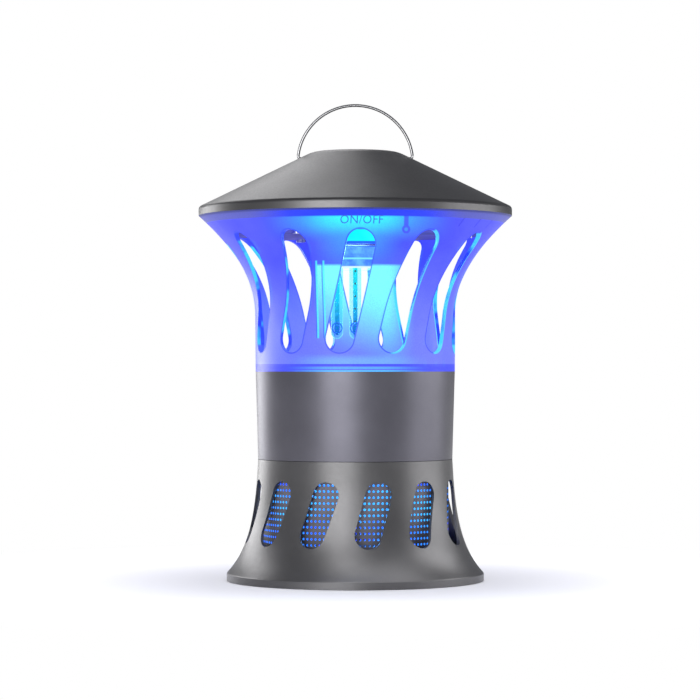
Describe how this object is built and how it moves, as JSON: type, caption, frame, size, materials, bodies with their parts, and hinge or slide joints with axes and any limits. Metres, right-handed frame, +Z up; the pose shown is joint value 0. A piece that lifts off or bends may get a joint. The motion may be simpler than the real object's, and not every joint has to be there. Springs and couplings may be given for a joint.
{
  "type": "electric insect trap lantern",
  "caption": "Hanging lantern insect trap: wire bail, conical lid, flared frosted shroud with leaning slots round a UV lamp, suction fan and twist-off slotted catch base.",
  "frame": {"origin": "on the surface that the trap stands on, under its centre", "axes": "+Z up, -Y towards the front with the power button, +X along the bail's hinge line"},
  "size_m": [0.19, 0.19, 0.2886],
  "materials": {
    "gunmetal_paint": "satin metallic gunmetal paint on moulded plastic",
    "black_plastic": "fine moulded texture",
    "dark_plastic": "moulded",
    "guard_plastic": "moulded, satin",
    "button_plastic": "satin",
    "basket_plastic": "satin grey",
    "frosted_shroud": "frosted translucent, lit from inside",
    "frosted_holder": "milky white",
    "lamp_base_plastic": "satin white",
    "lamp_glass": "lit ultraviolet tube",
    "bail_chrome": "polished wire",
    "zinc_steel": "zinc plated",
    "motor_steel": "turned",
    "contact_metal": "plated",
    "circuit_laminate": "solder mask",
    "ferrite": "sintered",
    "copper_winding": "enamelled wire",
    "capacitor_sleeve": "shrink sleeve",
    "relay_case": "moulded",
    "lead_sleeve": "insulation",
    "foot_rubber": "moulded"
  },
  "bodies": {
    "housing": {"lid_cover": "gunmetal_paint", "bail_pivots": "black_plastic", "lid_tray": "black_plastic", "lid_screws": "zinc_steel", "latch_tabs": "black_plastic", "circuit_board": "circuit_laminate", "board_standoffs": "black_plastic", "transformer_core": "ferrite", "transformer_coil": "copper_winding", "board_capacitors": "capacitor_sleeve", "lamp_relay": "relay_case", "switch_body": "black_plastic", "lamp_holder": "frosted_holder", "uv_lamp_base": "lamp_base_plastic", "uv_lamp_tubes": "lamp_glass", "light_shroud": "frosted_shroud", "fan_lead": "lead_sleeve", "power_lead": "lead_sleeve", "mid_band": "gunmetal_paint", "power_inlet": "black_plastic", "inlet_pin": "contact_metal", "fan_frame": "dark_plastic", "motor_can": "motor_steel", "motor_stator": "copper_winding", "motor_bearings": "motor_steel", "fan_guard": "guard_plastic", "guard_screws": "zinc_steel", "collar_screws": "zinc_steel", "bayonet_collar": "dark_plastic"},
    "fan": {"motor_shaft": "motor_steel", "rotor_magnet": "ferrite", "impeller": "dark_plastic"},
    "bail": {"bail_handle": "bail_chrome"},
    "button": {"power_button": "button_plastic"},
    "base": {"base_shell": "gunmetal_paint", "catch_basket": "basket_plastic", "base_plate": "black_plastic", "base_screws": "zinc_steel", "rubber_feet": "foot_rubber"}
  },
  "joints": [
    {"name": "fan_spin", "type": "hinge", "parent": "housing", "child": "fan", "pos_m": [0, 0, 0.1], "axis": [0, 0, 1], "continuous": true},
    {"name": "bail_swing", "type": "hinge", "parent": "housing", "child": "bail", "pos_m": [0, 0, 0.2555], "axis": [1, 0, 0], "range_deg": [-72, 72]},
    {"name": "power_press", "type": "slide", "parent": "housing", "child": "button", "axis": [0, 1, 0], "range_m": [0, 0.0015], "stiffness_N_per_m": 600},
    {"name": "base_twist", "type": "hinge", "parent": "housing", "child": "base", "pos_m": [0, 0, 0.07], "axis": [0, 0, 1], "range_deg": [0, 25]}
  ]
}
